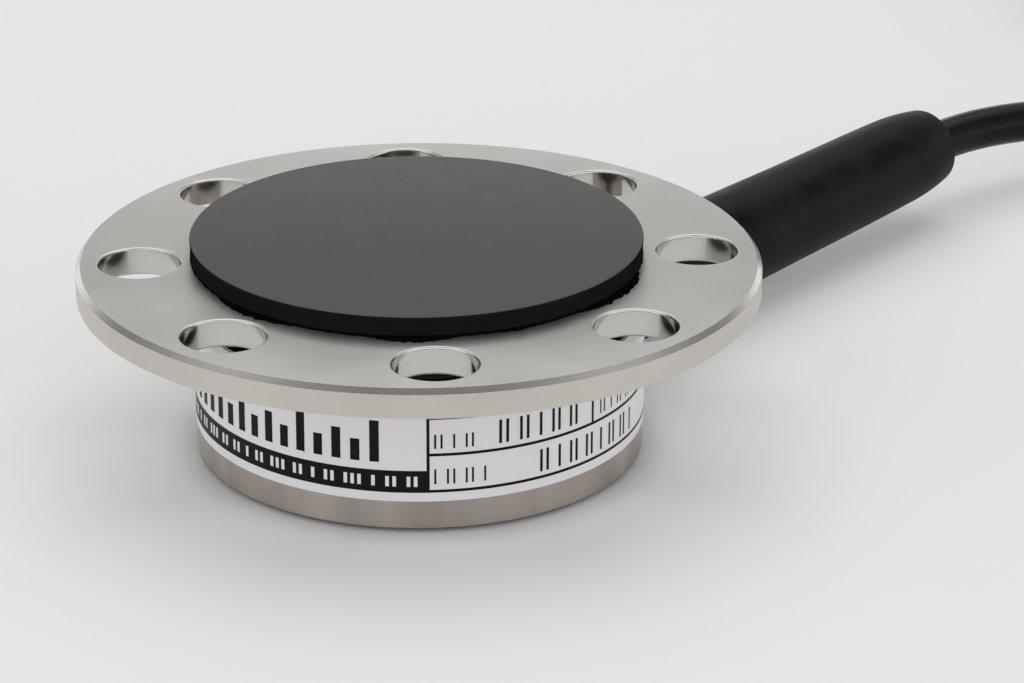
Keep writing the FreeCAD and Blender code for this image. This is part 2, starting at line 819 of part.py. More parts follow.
def arc_tube(angle, length, circle, height, radius):
    """A round solid that follows a circle round the coil's middle."""
    sweep = math.degrees(length / circle)
    points = [along_end(angle + sweep * part, circle, height) for part in (0, 0.5, 1)]
    wire = Part.Wire(Part.Arc(*points).toShape())
    start_way = (points[0] - coil_centre).cross(Vector(0, 0, -1))
    start_way.z = 0
    return swept(wire, points[0], start_way, radius)


deck = value(f"(coil_layers - 1) * {layer}")
end_circle = value("end_circle")
collar = value("collar_radius")
end_angle = value("end_turn")
end_point = along_end(end_angle, end_circle, deck + collar)
end_spin = Rotation(Vector(0, 0, 1), end_angle)
end_way = end_spin.multVec(Vector(0, 1, 0))
end_stub = doc.addObject("Part::Cylinder", "end_stub")
bind(end_stub, Radius="cable_radius", Height="stub_length")
end_stub.Placement = Placement(end_point - end_way * value("stub_length"), Rotation(Vector(0, 0, 1), end_way))

groove = doc.addObject("Part::Box", "tie_groove")
bind(groove, Length="coil_outer_turn", Width="tie_width + 2 * tie_slack", Height="tie_thickness")
tie_spin = Rotation(Vector(0, 0, 1), value("tie_turn"))
groove_corner = Vector(value(ring_inner) - 4, -value("tie_width / 2 + tie_slack"), 0)
groove.Placement = Placement(coil_centre + tie_spin.multVec(groove_corner), tie_spin)

wound = doc.addObject("Part::MultiFuse", "wound_cable")
wound.Shapes = [ring_profile, entry_stub, end_stub]
coil = node(doc.addObject("Part::Cut", "cable_coil"), "cable_coil")
coil.Base = wound
coil.Tool = groove

# Cable tie drawn round the coil's section, with its head and cut tail on top
body = new_body("coil_tie")
coil_top = f"coil_layers * {layer} + tie_slack"
strap = [
    (ring_inner + " - tie_slack", "tie_thickness"),
    (ring_outer + " + tie_slack", "tie_thickness"),
    (ring_outer + " + tie_slack", coil_top),
    ("coil_step", coil_top),
    (ring_inner + " - tie_slack", f"(coil_layers - 1) * {layer} + tie_slack"),
]
sketch = sketch_on(body, "XZ_Plane")
outline(
    sketch,
    [
        (ring_inner + " - tie_slack - tie_thickness", "tie_thickness * 0.6"),
        (ring_inner + " - tie_slack - tie_thickness * 0.4", "0"),
        (ring_outer + " + tie_slack + tie_thickness * 0.4", "0"),
        (ring_outer + " + tie_slack + tie_thickness", "tie_thickness * 0.6"),
        (ring_outer + " + tie_slack + tie_thickness", coil_top + " + tie_thickness * 0.4"),
        (ring_outer + " + tie_slack + tie_thickness * 0.4", coil_top + " + tie_thickness"),
        ("coil_step - tie_thickness * 0.3", coil_top + " + tie_thickness"),
        (
            ring_inner + " - tie_slack - tie_thickness",
            f"(coil_layers - 1) * {layer} + tie_slack + tie_thickness * 0.6",
        ),
    ],
)
outline(sketch, strap)
raised(body, sketch, "tie_width", midplane=True)
head = sketch_on(body, "XZ_Plane")
head_place = "coil_step + tie_head_gap"
outline(
    head,
    [
        (head_place, coil_top),
        (head_place + " + tie_head", coil_top),
        (head_place + " + tie_head", coil_top + " + tie_head * 0.7"),
        (head_place + " + tie_head * 0.6", coil_top + " + tie_head * 0.8"),
        (head_place + " + tie_head * 0.6", coil_top + " + tie_tail"),
        (head_place + " + tie_head * 0.6 - tie_thickness", coil_top + " + tie_tail"),
        (head_place + " + tie_head * 0.6 - tie_thickness", coil_top + " + tie_head * 0.8"),
        (head_place, coil_top + " + tie_head * 0.7"),
    ],
)
raised(body, head, "tie_width", midplane=True)
block = sketch_on(body, "XZ_Plane")
outline(
    block,
    [
        (head_place, coil_top),
        (head_place + " + tie_head", coil_top),
        (head_place + " + tie_head", coil_top + " + tie_head * 0.7"),
        (head_place, coil_top + " + tie_head * 0.7"),
    ],
)
raised(body, block, "tie_head", midplane=True)
body.Placement = Placement(coil_centre, tie_spin)
bind(body, Placement__Base__x="coil_x", Placement__Rotation__Angle="tie_turn")

# The cable's free end: a collar over the cut sheath, and four cores that fan out on the coil
end = node(doc.addObject("Part::Feature", "end_collar"), "end_collar")
end.Shape = arc_tube(end_angle, value("collar_length"), end_circle, deck + collar, collar)
tail_angle = end_angle + math.degrees(value("collar_length") / end_circle)
bundle = along_end(tail_angle, end_circle, deck + collar)
turned = math.radians(tail_angle)
outward = Vector(math.cos(turned), math.sin(turned), 0)
onward = Vector(-math.sin(turned), math.cos(turned), 0)
core = value("core_radius")
length = value("tail_length")
tails = (
    ("tail_red", -1, -1, 15.0),
    ("tail_green", -1, 1, 17.5),
    ("tail_yellow", 1, 1, 18.5),
    ("tail_blue", 1, -1, 22.0),
)
lead = value("tail_straight")
low = deck + core
for label, side, level, curve in tails:
    start = bundle + outward * (side * offset) + Vector(0, 0, level * offset)
    crossing = low if level < 0 else low + 2 * core
    points = [start]
    for part in (0, 0.2, 0.4, 0.6, 0.8, 1):
        bent = part * length / curve
        across = -outward * (curve * (1 - math.cos(bent)))
        forward = onward * (lead + curve * math.sin(bent))
        drop = crossing - start.z if part >= 0.6 else (crossing - start.z) * part / 0.6
        settle = (low - crossing) * max(0, part - 0.6) / 0.4
        points.append(start + across + forward + Vector(0, 0, drop + settle))
    tube(label, points, core)

doc.recompute()
faulty = [o.Label for o in doc.Objects if {"Invalid", "Error"} & set(o.State)]
faulty += [n.Label for n in nodes if n.Shape.isNull() or not n.Shape.isValid() or not n.Shape.Solids]
if faulty:
    raise RuntimeError("failed: " + ", ".join(faulty))

os.makedirs("parts", exist_ok=True)
for piece in nodes:
    piece.Shape.exportStep(f"parts/{piece.Label}.step")
print(len(nodes), "pieces written")
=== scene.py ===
import math

import bpy
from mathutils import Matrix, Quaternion, Vector, noise


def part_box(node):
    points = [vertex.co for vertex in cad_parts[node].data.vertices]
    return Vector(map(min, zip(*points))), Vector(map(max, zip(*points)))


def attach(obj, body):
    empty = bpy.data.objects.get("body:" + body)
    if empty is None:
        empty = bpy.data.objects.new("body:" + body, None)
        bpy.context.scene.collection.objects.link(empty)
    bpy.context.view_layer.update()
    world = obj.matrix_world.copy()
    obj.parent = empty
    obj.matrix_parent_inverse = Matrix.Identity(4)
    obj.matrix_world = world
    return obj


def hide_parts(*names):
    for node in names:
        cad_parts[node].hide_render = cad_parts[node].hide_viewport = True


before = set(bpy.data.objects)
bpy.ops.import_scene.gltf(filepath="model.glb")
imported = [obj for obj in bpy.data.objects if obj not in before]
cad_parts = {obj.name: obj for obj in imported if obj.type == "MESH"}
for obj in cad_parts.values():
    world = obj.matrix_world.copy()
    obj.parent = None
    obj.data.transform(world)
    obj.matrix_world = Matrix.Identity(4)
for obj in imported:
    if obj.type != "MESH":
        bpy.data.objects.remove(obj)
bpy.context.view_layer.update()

# Sensing body: flange, cylinder and diaphragm turned from one bar of stainless steel. The cutting tool
# leaves fine rings on the flat faces and lines round the upright ones. The body's wall is given a darker tone
# than the flange, painted shade for the shaded floor it reflects, with upright streaks of painted reflection.
# The groove under the flange is painted near black and the undercut foot dark brown, both painted shade.
MM = 0.001
hole_circle, hole_reach = 28.5, 5.0
groove_radius, groove_height, groove_half = 23.35, 16.63, 1.03
rim_radius, wall_radius, foot_radius, foot_height = 35.0, 23.0, 21.93, 0.52
radius_slack = 0.06
rim_tint, face_tint = "#fefaf7", "#f7f7f8"
# The wall's two tones are painted shade with painted reflection streaks; the foot's and the groove's tones
# are painted shade.
wall_dark, wall_light, foot_shade_tone, groove_shade_tone = "#aaa299", "#bcb5ac", "#5c5751", "#2b2926"
# How far a normal points up or down on flat faces, on upright ones and on broken edges.
flat_above, upright_below, edge_middle, edge_half = 0.8, 0.3, 0.55, 0.25
broken_edge_roughness, reamed_roughness, polish_spread = 0.22, 0.14, 0.03


def linear(code):
    """A linear colour, with alpha, from an sRGB hex code."""
    channels = [int(code[k:k + 2], 16) / 255 for k in (1, 3, 5)]
    return (*[c / 12.92 if c <= 0.04045 else ((c + 0.055) / 1.055) ** 2.4 for c in channels], 1.0)


def add_node(tree, kind, sockets=None, **settings):
    """One node with its settings. Its sockets get values, or links from other nodes' outputs.

    Sockets that share a name go by number. A Mix has its share at 0, numbers at 2 and 3, and colours at 6
    and 7. A Map Range reads from 1 to 2 and gives from 3 to 4.
    """
    made = tree.nodes.new(kind)
    for name, value in settings.items():
        setattr(made, name, value)
    for socket, value in (sockets or {}).items():
        if isinstance(value, bpy.types.NodeSocket):
            tree.links.new(value, made.inputs[socket])
        else:
            made.inputs[socket].default_value = value
    return made


def new_finish(name):
    """A material with its tree and its shader, ready to be given colour, roughness and relief."""
    finish = bpy.data.materials.new(name)
    finish.use_nodes = True
    tree = finish.node_tree
    tree.nodes.clear()
    shader = add_node(tree, "ShaderNodeBsdfPrincipled")
    add_node(tree, "ShaderNodeOutputMaterial", {"Surface": shader.outputs["BSDF"]})
    return finish, tree, shader


def dress(name, finish):
    """Gives a finish to one of the solids."""
    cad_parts[name].material_slots[0].material = finish


def turned_steel(name, light, dark, feed_mm, roughness):
    """Stainless steel off the lathe: pale satin grey, with tool marks round the Z axis and slow smudges.

    The real marks are about 0.1 mm apart. They are drawn wider, so that they show.
    """
    finish, tree, shader = new_finish(name)
    place = add_node(tree, "ShaderNodeTexCoord").outputs["Object"]
    axes = add_node(tree, "ShaderNodeSeparateXYZ", {0: place}).outputs
    level = add_node(tree, "ShaderNodeCombineXYZ", {"X": axes["X"], "Y": axes["Y"]})
    radius = add_node(tree, "ShaderNodeVectorMath", {0: level.outputs[0]}, operation="LENGTH")
    facing = add_node(tree, "ShaderNodeNewGeometry").outputs["Normal"]
    upward = add_node(tree, "ShaderNodeSeparateXYZ", {0: facing}).outputs["Z"]
    steep = add_node(tree, "ShaderNodeMath", {0: upward}, operation="ABSOLUTE")
    flat = add_node(tree, "ShaderNodeMath", {0: steep.outputs[0], 1: flat_above}, operation="GREATER_THAN")
    along = add_node(
        tree,
        "ShaderNodeMix",
        {0: flat.outputs[0], 2: axes["Z"], 3: radius.outputs["Value"]},
        data_type="FLOAT",
    )
    marks = add_node(
        tree,
        "ShaderNodeTexNoise",
        {"W": along.outputs[0], "Scale": 1 / (feed_mm * MM), "Detail": 3.0, "Roughness": 0.6},
        noise_dimensions="1D",
    )
    smudge_mm = 11.0
    smudges = add_node(
        tree,
        "ShaderNodeTexNoise",
        {"Vector": place, "Scale": 1 / (smudge_mm * MM), "Detail": 4.0, "Roughness": 0.55},
    )
    tone = add_node(
        tree,
        "ShaderNodeMix",
        {0: smudges.outputs["Fac"], 6: linear(dark), 7: linear(light)},
        data_type="RGBA",
    )
    on_rim = add_node(
        tree,
        "ShaderNodeMath",
        {0: radius.outputs["Value"], 1: rim_radius * MM, 2: radius_slack * MM},
        operation="COMPARE",
    )
    sides = add_node(
        tree,
        "ShaderNodeMix",
        {0: on_rim.outputs[0], 6: tone.outputs[2], 7: linear(rim_tint)},
        data_type="RGBA",
        blend_type="MULTIPLY",
    )
    faced = add_node(
        tree,
        "ShaderNodeMix",
        {0: flat.outputs[0], 6: sides.outputs[2], 7: linear(face_tint)},
        data_type="RGBA",
        blend_type="MULTIPLY",
    )
    dullest, brightest = roughness + polish_spread, roughness - polish_spread
    polish = add_node(
        tree,
        "ShaderNodeMapRange",
        {"Value": smudges.outputs["Fac"], 1: 0.3, 2: 0.7, 3: brightest, 4: dullest},
    )
    # The wall below the flange: a darker tone with upright streaks, painted shade and painted reflection.
    streak_mm, streak_squash = 4.5, 0.08
    drawn_out = add_node(
        tree,
        "ShaderNodeVectorMath",
        {0: place, 1: (1, 1, streak_squash)},
        operation="MULTIPLY",
    )
    reflection_streaks = add_node(
        tree,
        "ShaderNodeTexNoise",
        {"Vector": drawn_out.outputs[0], "Scale": 1 / (streak_mm * MM), "Detail": 3.0, "Roughness": 0.5},
    )
    streak_share = add_node(tree, "ShaderNodeMapRange", {"Value": reflection_streaks.outputs["Fac"], 1: 0.35, 2: 0.65})
    wall_shade_tone = add_node(
        tree,
        "ShaderNodeMix",
        {0: streak_share.outputs[0], 6: linear(wall_dark), 7: linear(wall_light)},
        data_type="RGBA",
    )
    on_wall = add_node(
        tree,
        "ShaderNodeMath",
        {0: radius.outputs["Value"], 1: wall_radius * MM, 2: radius_slack * MM},
        operation="COMPARE",
    )
    wall_shaded = add_node(
        tree,
        "ShaderNodeMix",
        {0: on_wall.outputs[0], 6: faced.outputs[2], 7: wall_shade_tone.outputs[2]},
        data_type="RGBA",
    )
    # Painted shade: the groove under the flange is coloured near black.
    grooved = add_node(
        tree,
        "ShaderNodeMath",
        {0: axes["Z"], 1: groove_height * MM, 2: groove_half * MM},
        operation="COMPARE",
    )
    inward = add_node(
        tree,
        "ShaderNodeMath",
        {0: radius.outputs["Value"], 1: groove_radius * MM},
        operation="LESS_THAN",
    )
    in_groove = add_node(
        tree,
        "ShaderNodeMath",
        {0: grooved.outputs[0], 1: inward.outputs[0]},
        operation="MULTIPLY",
    )
    # Painted shade: the undercut foot is coloured dark brown, for the dark line where the cell meets the
    # floor.
    low = add_node(tree, "ShaderNodeMath", {0: axes["Z"], 1: foot_height * MM}, operation="LESS_THAN")
    outer = add_node(
        tree,
        "ShaderNodeMath",
        {0: radius.outputs["Value"], 1: foot_radius * MM},
        operation="GREATER_THAN",
    )
    at_foot = add_node(tree, "ShaderNodeMath", {0: low.outputs[0], 1: outer.outputs[0]}, operation="MULTIPLY")
    footed = add_node(
        tree,
        "ShaderNodeMix",
        {0: at_foot.outputs[0], 6: wall_shaded.outputs[2], 7: linear(foot_shade_tone)},
        data_type="RGBA",
    )
    colour = add_node(
        tree,
        "ShaderNodeMix",
        {0: in_groove.outputs[0], 6: footed.outputs[2], 7: linear(groove_shade_tone)},
        data_type="RGBA",
    )
    in_holes = add_node(
        tree,
        "ShaderNodeMath",
        {0: radius.outputs["Value"], 1: hole_circle * MM, 2: hole_reach * MM},
        operation="COMPARE",
    )
    upright = add_node(tree, "ShaderNodeMath", {0: steep.outputs[0], 1: upright_below}, operation="LESS_THAN")
    reamed = add_node(
        tree,
        "ShaderNodeMath",
        {0: in_holes.outputs[0], 1: upright.outputs[0]},
        operation="MULTIPLY",
    )
    edge = add_node(
        tree,
        "ShaderNodeMath",
        {0: steep.outputs[0], 1: edge_middle, 2: edge_half},
        operation="COMPARE",
    )
    edge_gloss = add_node(
        tree,
        "ShaderNodeMix",
        {0: edge.outputs[0], 2: polish.outputs[0], 3: broken_edge_roughness},
        data_type="FLOAT",
    )
    gloss = add_node(
        tree,
        "ShaderNodeMix",
        {0: reamed.outputs[0], 2: edge_gloss.outputs[0], 3: reamed_roughness},
        data_type="FLOAT",
    )
    relief = add_node(
        tree,
        "ShaderNodeBump",
        {"Strength": 0.35, "Distance": 0.004 * MM, "Height": marks.outputs["Fac"]},
    )
    around = add_node(tree, "ShaderNodeTangent", direction_type="RADIAL", axis="Z")
    tree.links.new(colour.outputs[2], shader.inputs["Base Color"])
    tree.links.new(gloss.outputs[0], shader.inputs["Roughness"])
    tree.links.new(relief.outputs[0], shader.inputs["Normal"])
    tree.links.new(around.outputs[0], shader.inputs["Tangent"])
    shader.inputs["Metallic"].default_value = 1.0
    shader.inputs["Anisotropic"].default_value = 0.35
    shader.inputs["Anisotropic Rotation"].default_value = 0.25
    return finish


dress("sensing_body", turned_steel("turned stainless steel", "#cfcdc8", "#c7c5bf", 0.3, 0.38))

# Load pad: a disc cut from black rubber sheet and bonded to the flange a little off centre. Its top is dull,
# with faint mottling and a few pale specks, and its grey is partly the rubber's own and partly painted sheen.
# Its cut edge is given a darker tone, painted shade, and at the foot it is frayed. In places a near-black
# bead stands out round the foot, a painted contact shadow.
pad_low, pad_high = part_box("load_pad")
pad_centre = (pad_low + pad_high) / 2
pad_radius = (pad_high.x - pad_low.x) / 2
pad_thickness = pad_high.z - pad_low.z
top_rounding, waist_depth = 0.22, 0.07
fray_depth, fray_grain, fray_share, fray_inset = 0.2, 0.45, 0.2, 0.6
foot_shadow_share, bottom_share, face_upward = 0.14, 0.01, 0.6
# Where the edge is cut into rings, as shares of the pad's thickness.
edge_rings = (0.06, foot_shadow_share, 0.26, 0.45, 0.7)
# Direction and half width in degrees, and reach in millimetres, of the near-black bead at the foot, a painted
# contact shadow.
foot_shadow_beads = [
    (-139, 11, 1.0),
    (-112, 5, 0.3),
    (-78, 17, 0.9),
    (-20, 14, 0.5),
    (45, 9, 0.4),
    (100, 16, 0.5),
    (177, 14, 0.8),
]


def edit_only(piece):
    """Selects one piece alone and opens it in edit mode with all of it selected."""
    bpy.ops.object.select_all(action="DESELECT")
    piece.select_set(True)
    bpy.context.view_layer.objects.active = piece
    bpy.ops.object.mode_set(mode="EDIT")
    bpy.ops.mesh.select_all(action="SELECT")


def select_where(piece, kind, test):
    """In edit mode, selects the vertices, edges or faces that pass a test."""
    bpy.ops.mesh.select_all(action="DESELECT")
    bpy.ops.object.mode_set(mode="OBJECT")
    parts = getattr(piece.data, kind)
    for part in parts:
        part.select = test(part)
    bpy.ops.object.mode_set(mode="EDIT")


bpy.ops.object.select_all(action="DESELECT")
bpy.ops.mesh.primitive_cylinder_add(
    vertices=720,
    radius=pad_radius,
    depth=pad_thickness,
    location=pad_centre,
)
pad = bpy.context.active_object
pad.name = "rubber_load_pad"
bpy.ops.object.transform_apply(location=True, rotation=True, scale=True)
edit_only(pad)
bpy.ops.mesh.select_mode(type="EDGE")
under_top = pad_high.z - 0.01 * MM
select_where(
    pad,
    "edges",
    lambda edge: all(pad.data.vertices[v].co.z > under_top for v in edge.vertices),
)
bpy.ops.mesh.bevel(offset=top_rounding * MM, segments=4, profile=0.5)
for share in edge_rings:
    bpy.ops.mesh.select_all(action="SELECT")
    bpy.ops.mesh.bisect(plane_co=(0, 0, pad_low.z + share * pad_thickness), plane_no=(0, 0, 1))
bpy.ops.object.mode_set(mode="OBJECT")
for vertex in pad.data.vertices:
    outward = Vector((vertex.co.x - pad_centre.x, vertex.co.y - pad_centre.y, 0))
    height = (vertex.co.z - pad_low.z) / pad_thickness
    frayed = fray_depth * MM * max(0.0, 1 - height / fray_share)
    rough = noise.noise(vertex.co / (fray_grain * MM)) * frayed
    waist = waist_depth * MM * math.sin(math.pi * min(1.0, height))
    bead = 0.0
    # Painted contact shadow: in places the lowest ring stands out as a bead, coloured near black below.
    if height < bottom_share:
        around = math.degrees(math.atan2(outward.y, outward.x))
        for middle, half, reach in foot_shadow_beads:
            away = abs((around - middle + 180) % 360 - 180) / half
            bead = max(bead, reach * MM * (1 - away * away))
    vertex.co += outward.normalized() * (bead + rough * (1 + bead / MM) - waist - frayed * fray_inset)
bpy.ops.object.shade_smooth_by_angle(angle=math.radians(35))


def sheet_rubber(name, dark, light, dust_share, sheen):
    """Black sheet rubber: dull, with faint mottling in tone and gloss and a few specks of pale dust."""
    finish, tree, shader = new_finish(name)
    place = add_node(tree, "ShaderNodeTexCoord").outputs["Object"]
    mottle_mm = 2.4
    mottle = add_node(
        tree,
        "ShaderNodeTexNoise",
        {"Vector": place, "Scale": 1 / (mottle_mm * MM), "Detail": 6.0, "Roughness": 0.62},
    )
    speck_mm, speck_core, speck_rim, speck_rarity = 1.3, 0.05, 0.09, 0.86
    specks = add_node(
        tree,
        "ShaderNodeTexVoronoi",
        {"Vector": place, "Scale": 1 / (speck_mm * MM), "Randomness": 1.0},
        feature="F1",
    )
    speck_edge = add_node(
        tree,
        "ShaderNodeMapRange",
        {"Value": specks.outputs["Distance"], 1: speck_core, 2: speck_rim, 3: dust_share, 4: 0.0},
    )
    speck_colour = add_node(tree, "ShaderNodeSeparateColor", {0: specks.outputs["Color"]})
    rare = add_node(
        tree,
        "ShaderNodeMath",
        {0: speck_colour.outputs[0], 1: speck_rarity},
        operation="GREATER_THAN",
    )
    dust = add_node(
        tree,
        "ShaderNodeMath",
        {0: speck_edge.outputs[0], 1: rare.outputs[0]},
        operation="MULTIPLY",
    )
    ground = add_node(
        tree,
        "ShaderNodeMix",
        {0: mottle.outputs["Fac"], 6: linear(dark), 7: linear(light)},
        data_type="RGBA",
    )
    colour = add_node(
        tree,
        "ShaderNodeMix",
        {0: dust.outputs[0], 6: ground.outputs[2], 7: linear("#55534f")},
        data_type="RGBA",
    )
    dullness = add_node(
        tree,
        "ShaderNodeMapRange",
        {"Value": mottle.outputs["Fac"], 1: 0.3, 2: 0.7, 3: 0.41, 4: 0.49},
    )
    relief = add_node(
        tree,
        "ShaderNodeBump",
        {"Strength": 0.25, "Distance": 0.02 * MM, "Height": mottle.outputs["Fac"]},
    )
    tree.links.new(colour.outputs[2], shader.inputs["Base Color"])
    tree.links.new(dullness.outputs[0], shader.inputs["Roughness"])
    tree.links.new(relief.outputs[0], shader.inputs["Normal"])
    shader.inputs["Specular IOR Level"].default_value = sheen
    return finish


# One rubber, three tones: face partly painted sheen, darker edge painted shade, black foot painted shadow.
pad.data.materials.append(sheet_rubber("sheet rubber face, partly painted sheen", "#3c3b39", "#444341", 0.25, 0.25))
pad.data.materials.append(sheet_rubber("sheet rubber edge, painted shade", "#151514", "#1f1f1e", 0.0, 0.0))
pad.data.materials.append(sheet_rubber("painted contact shadow, near black", "#060606", "#0d0d0d", 0.0, 0.0))
for face in pad.data.polygons:
    if face.center.z < pad_low.z + foot_shadow_share * pad_thickness:
        face.material_index = 2
    else:
        face.material_index = 0 if face.normal.z > face_upward else 1
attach(pad, "root")
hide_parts("load_pad")

# Identification label: white polyester film printed in black, stuck round the body under the flange, with
# its ends clear of the cable. The print is a ruled table with small strokes in groups, a black band with
# white strokes, and a row of graduations.
body_radius = 23.0
label_middle = math.radians(-139.4)
label_span = math.radians(230.0)
label_half = body_radius * label_span / 2
label_bottom = 3.45
label_top = 15.45
film = 0.15
ink = 0.015
rule = 0.3
roll_cut = 0.8


def flat_strip(left, right, bottom, top):
    """A flat strip in millimetres, X along the label and Y up it, cut across so that it can be rolled."""
    bpy.ops.object.select_all(action="DESELECT")
    bpy.ops.mesh.primitive_grid_add(
        x_subdivisions=max(1, math.ceil((right - left) / roll_cut)),
        y_subdivisions=1,
        size=1.0,
        location=((left + right) / 2, (bottom + top) / 2, 0),
    )
    made = bpy.context.active_object
    made.scale = (right - left, top - bottom, 1)
    bpy.ops.object.transform_apply(location=True, rotation=True, scale=True)
    return made


def join(pieces, name):
    """Makes one piece of several."""
    bpy.ops.object.select_all(action="DESELECT")
    for piece in pieces:
        piece.select_set(True)
    bpy.context.view_layer.objects.active = pieces[0]
    bpy.ops.object.join()
    pieces[0].name = name
    return pieces[0]


def thicken(piece, thickness, above):
    """Gives a flat piece its thickness, starting at a height above the steel."""
    edit_only(piece)
    bpy.ops.transform.translate(value=(0, 0, above))
    bpy.ops.mesh.extrude_region_move(TRANSFORM_OT_translate={"value": (0, 0, thickness)})
    bpy.ops.mesh.select_all(action="SELECT")
    bpy.ops.mesh.normals_make_consistent(inside=False)
    bpy.ops.object.mode_set(mode="OBJECT")


def strokes(left, bottom, top, size, groups):
    """A row of upright strokes in groups, with their pitch and width as the size."""
    pitch, width = size
    bars = []
    start = left
    for count in groups:
        for _ in range(count):
            bars.append((start, start + width, bottom, top))
            start += pitch
        start += pitch
    return bars


divider = 1.3
second_divider = 19.8
print_left = -42.0
print_right = 42.5
low_rule, middle_rule, high_rule = 4.55, 8.45, 12.35
band_bottom, band_top = 4.4, 6.75
graduations, graduation_pitch, graduation_width = 19, 1.95, 0.95
graduation_heights = (4.4, 2.3, 3.3, 2.3)
graduation_start, graduation_foot = divider - 4.8, band_top + 0.85
small, large, white_size = (0.62, 0.2), (0.74, 0.3), (0.7, 0.36)
black_bars = [
    (print_left, divider + rule / 2, band_bottom, band_top),
    (divider - rule / 2, divider + rule / 2, band_top, high_rule),
    (second_divider - rule / 2, second_divider + rule / 2, middle_rule, high_rule),
    (print_right - rule, print_right, low_rule, high_rule),
]
for height in (low_rule, middle_rule, high_rule):
    black_bars.append((divider, print_right, height - rule / 2, height + rule / 2))
for k in range(graduations):
    right = graduation_start - k * graduation_pitch
    top = graduation_foot + graduation_heights[k % 4]
    black_bars.append((right - graduation_width, right, graduation_foot, top))
# Rows of strokes in the table: where each starts, its bottom and top, its size, and how many stand together.
stroke_rows = [
    (divider + 0.6, 9.1, 10.6, small, (2, 1, 2)),
    (divider + 7.1, 9.1, 11.6, large, (2, 2, 1, 2, 2)),
    (second_divider + 1.2, 9.1, 10.6, small, (2, 1, 2, 2)),
    (second_divider + 8.4, 9.1, 11.6, large, (2, 1, 2)),
    (divider + 0.6, 5.3, 6.9, small, (1, 2, 2, 1)),
    (divider + 11.6, 5.15, 7.55, large, (2, 1, 2, 2, 1, 2, 2, 1)),
]
for row in stroke_rows:
    black_bars += strokes(*row)
band_groups = (2, 2, 1, 3, 2, 1, 2, 3, 2, 2, 1, 2, 3, 2, 1, 2, 3, 1, 2, 2)
white_bars = strokes(print_left + 2.0, 5.05, 6.15, white_size, band_groups)

paper = flat_strip(-label_half, label_half, label_bottom, label_top)
thicken(paper, film, 0)
black = join([flat_strip(*bar) for bar in black_bars], "black_print")
thicken(black, ink, film)
white = join([flat_strip(*bar) for bar in white_bars], "white_print")
thicken(white, ink, film + ink)

# White polyester film: clean, with a soft gloss and faint clouds, and darker towards its top edge, painted
# shade from the flange above it.
film_shade_start, film_shade_full = 13.3, 14.7
label_film, tree, shader = new_finish("white polyester film")
place = add_node(tree, "ShaderNodeTexCoord").outputs["Object"]
cloud_mm = 6.0
cloud = add_node(tree, "ShaderNodeTexNoise", {"Vector": place, "Scale": 1 / (cloud_mm * MM), "Detail": 3.0})
white_tone = add_node(
    tree,
    "ShaderNodeMix",
    {0: cloud.outputs["Fac"], 6: linear("#dfdfdf"), 7: linear("#e7e7e7")},
    data_type="RGBA",
)
up = add_node(tree, "ShaderNodeSeparateXYZ", {0: place}).outputs["Z"]
film_shade_share = add_node(tree, "ShaderNodeMapRange", {"Value": up, 1: film_shade_start * MM, 2: film_shade_full * MM})
# Painted shade: the film is darkened towards its top edge, under the flange.
shaded_film_tone = add_node(
    tree,
    "ShaderNodeMix",
    {0: film_shade_share.outputs[0], 6: white_tone.outputs[2], 7: linear("#dad9d6")},
    data_type="RGBA",
    blend_type="MULTIPLY",
)
gloss = add_node(tree, "ShaderNodeMapRange", {"Value": cloud.outputs["Fac"], 3: 0.38, 4: 0.5})
tree.links.new(shaded_film_tone.outputs[2], shader.inputs["Base Color"])
tree.links.new(gloss.outputs[0], shader.inputs["Roughness"])
shader.inputs["IOR"].default_value = 1.5

# Black printing ink: deep black and nearly matt, with a fine grain.
black_ink, tree, shader = new_finish("black printing ink")
place = add_node(tree, "ShaderNodeTexCoord").outputs["Object"]
grain_mm = 0.25
grain = add_node(tree, "ShaderNodeTexNoise", {"Vector": place, "Scale": 1 / (grain_mm * MM), "Detail": 2.0})
black_tone = add_node(
    tree,
    "ShaderNodeMix",
    {0: grain.outputs["Fac"], 6: linear("#050506"), 7: linear("#0e0e0f")},
    data_type="RGBA",
)
tree.links.new(black_tone.outputs[2], shader.inputs["Base Color"])
shader.inputs["Roughness"].default_value = 0.42
shader.inputs["Specular IOR Level"].default_value = 0.15

paper.data.materials.append(label_film)
black.data.materials.append(black_ink)
white.data.materials.append(label_film)
label = join([paper, black, white], "printed_label")
for vertex in label.data.vertices:
    along, up, out = vertex.co
    angle = label_middle + along / body_radius
    reach = (body_radius + out) * MM
    vertex.co = (reach * math.cos(angle), reach * math.sin(angle), up * MM)
bpy.ops.object.shade_smooth_by_angle(angle=math.radians(30))
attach(label, "root")
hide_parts("identification_label")

# Base cover with its screws and seal: a disc faced on the lathe, bright with fine rings, and held in its
# recess by six countersunk socket screws over a rubber ring. They show only when the cell is turned over.
dress("base_cover", turned_steel("faced stainless cover", "#c6c4bf", "#b5b2ab", 0.4, 0.3))


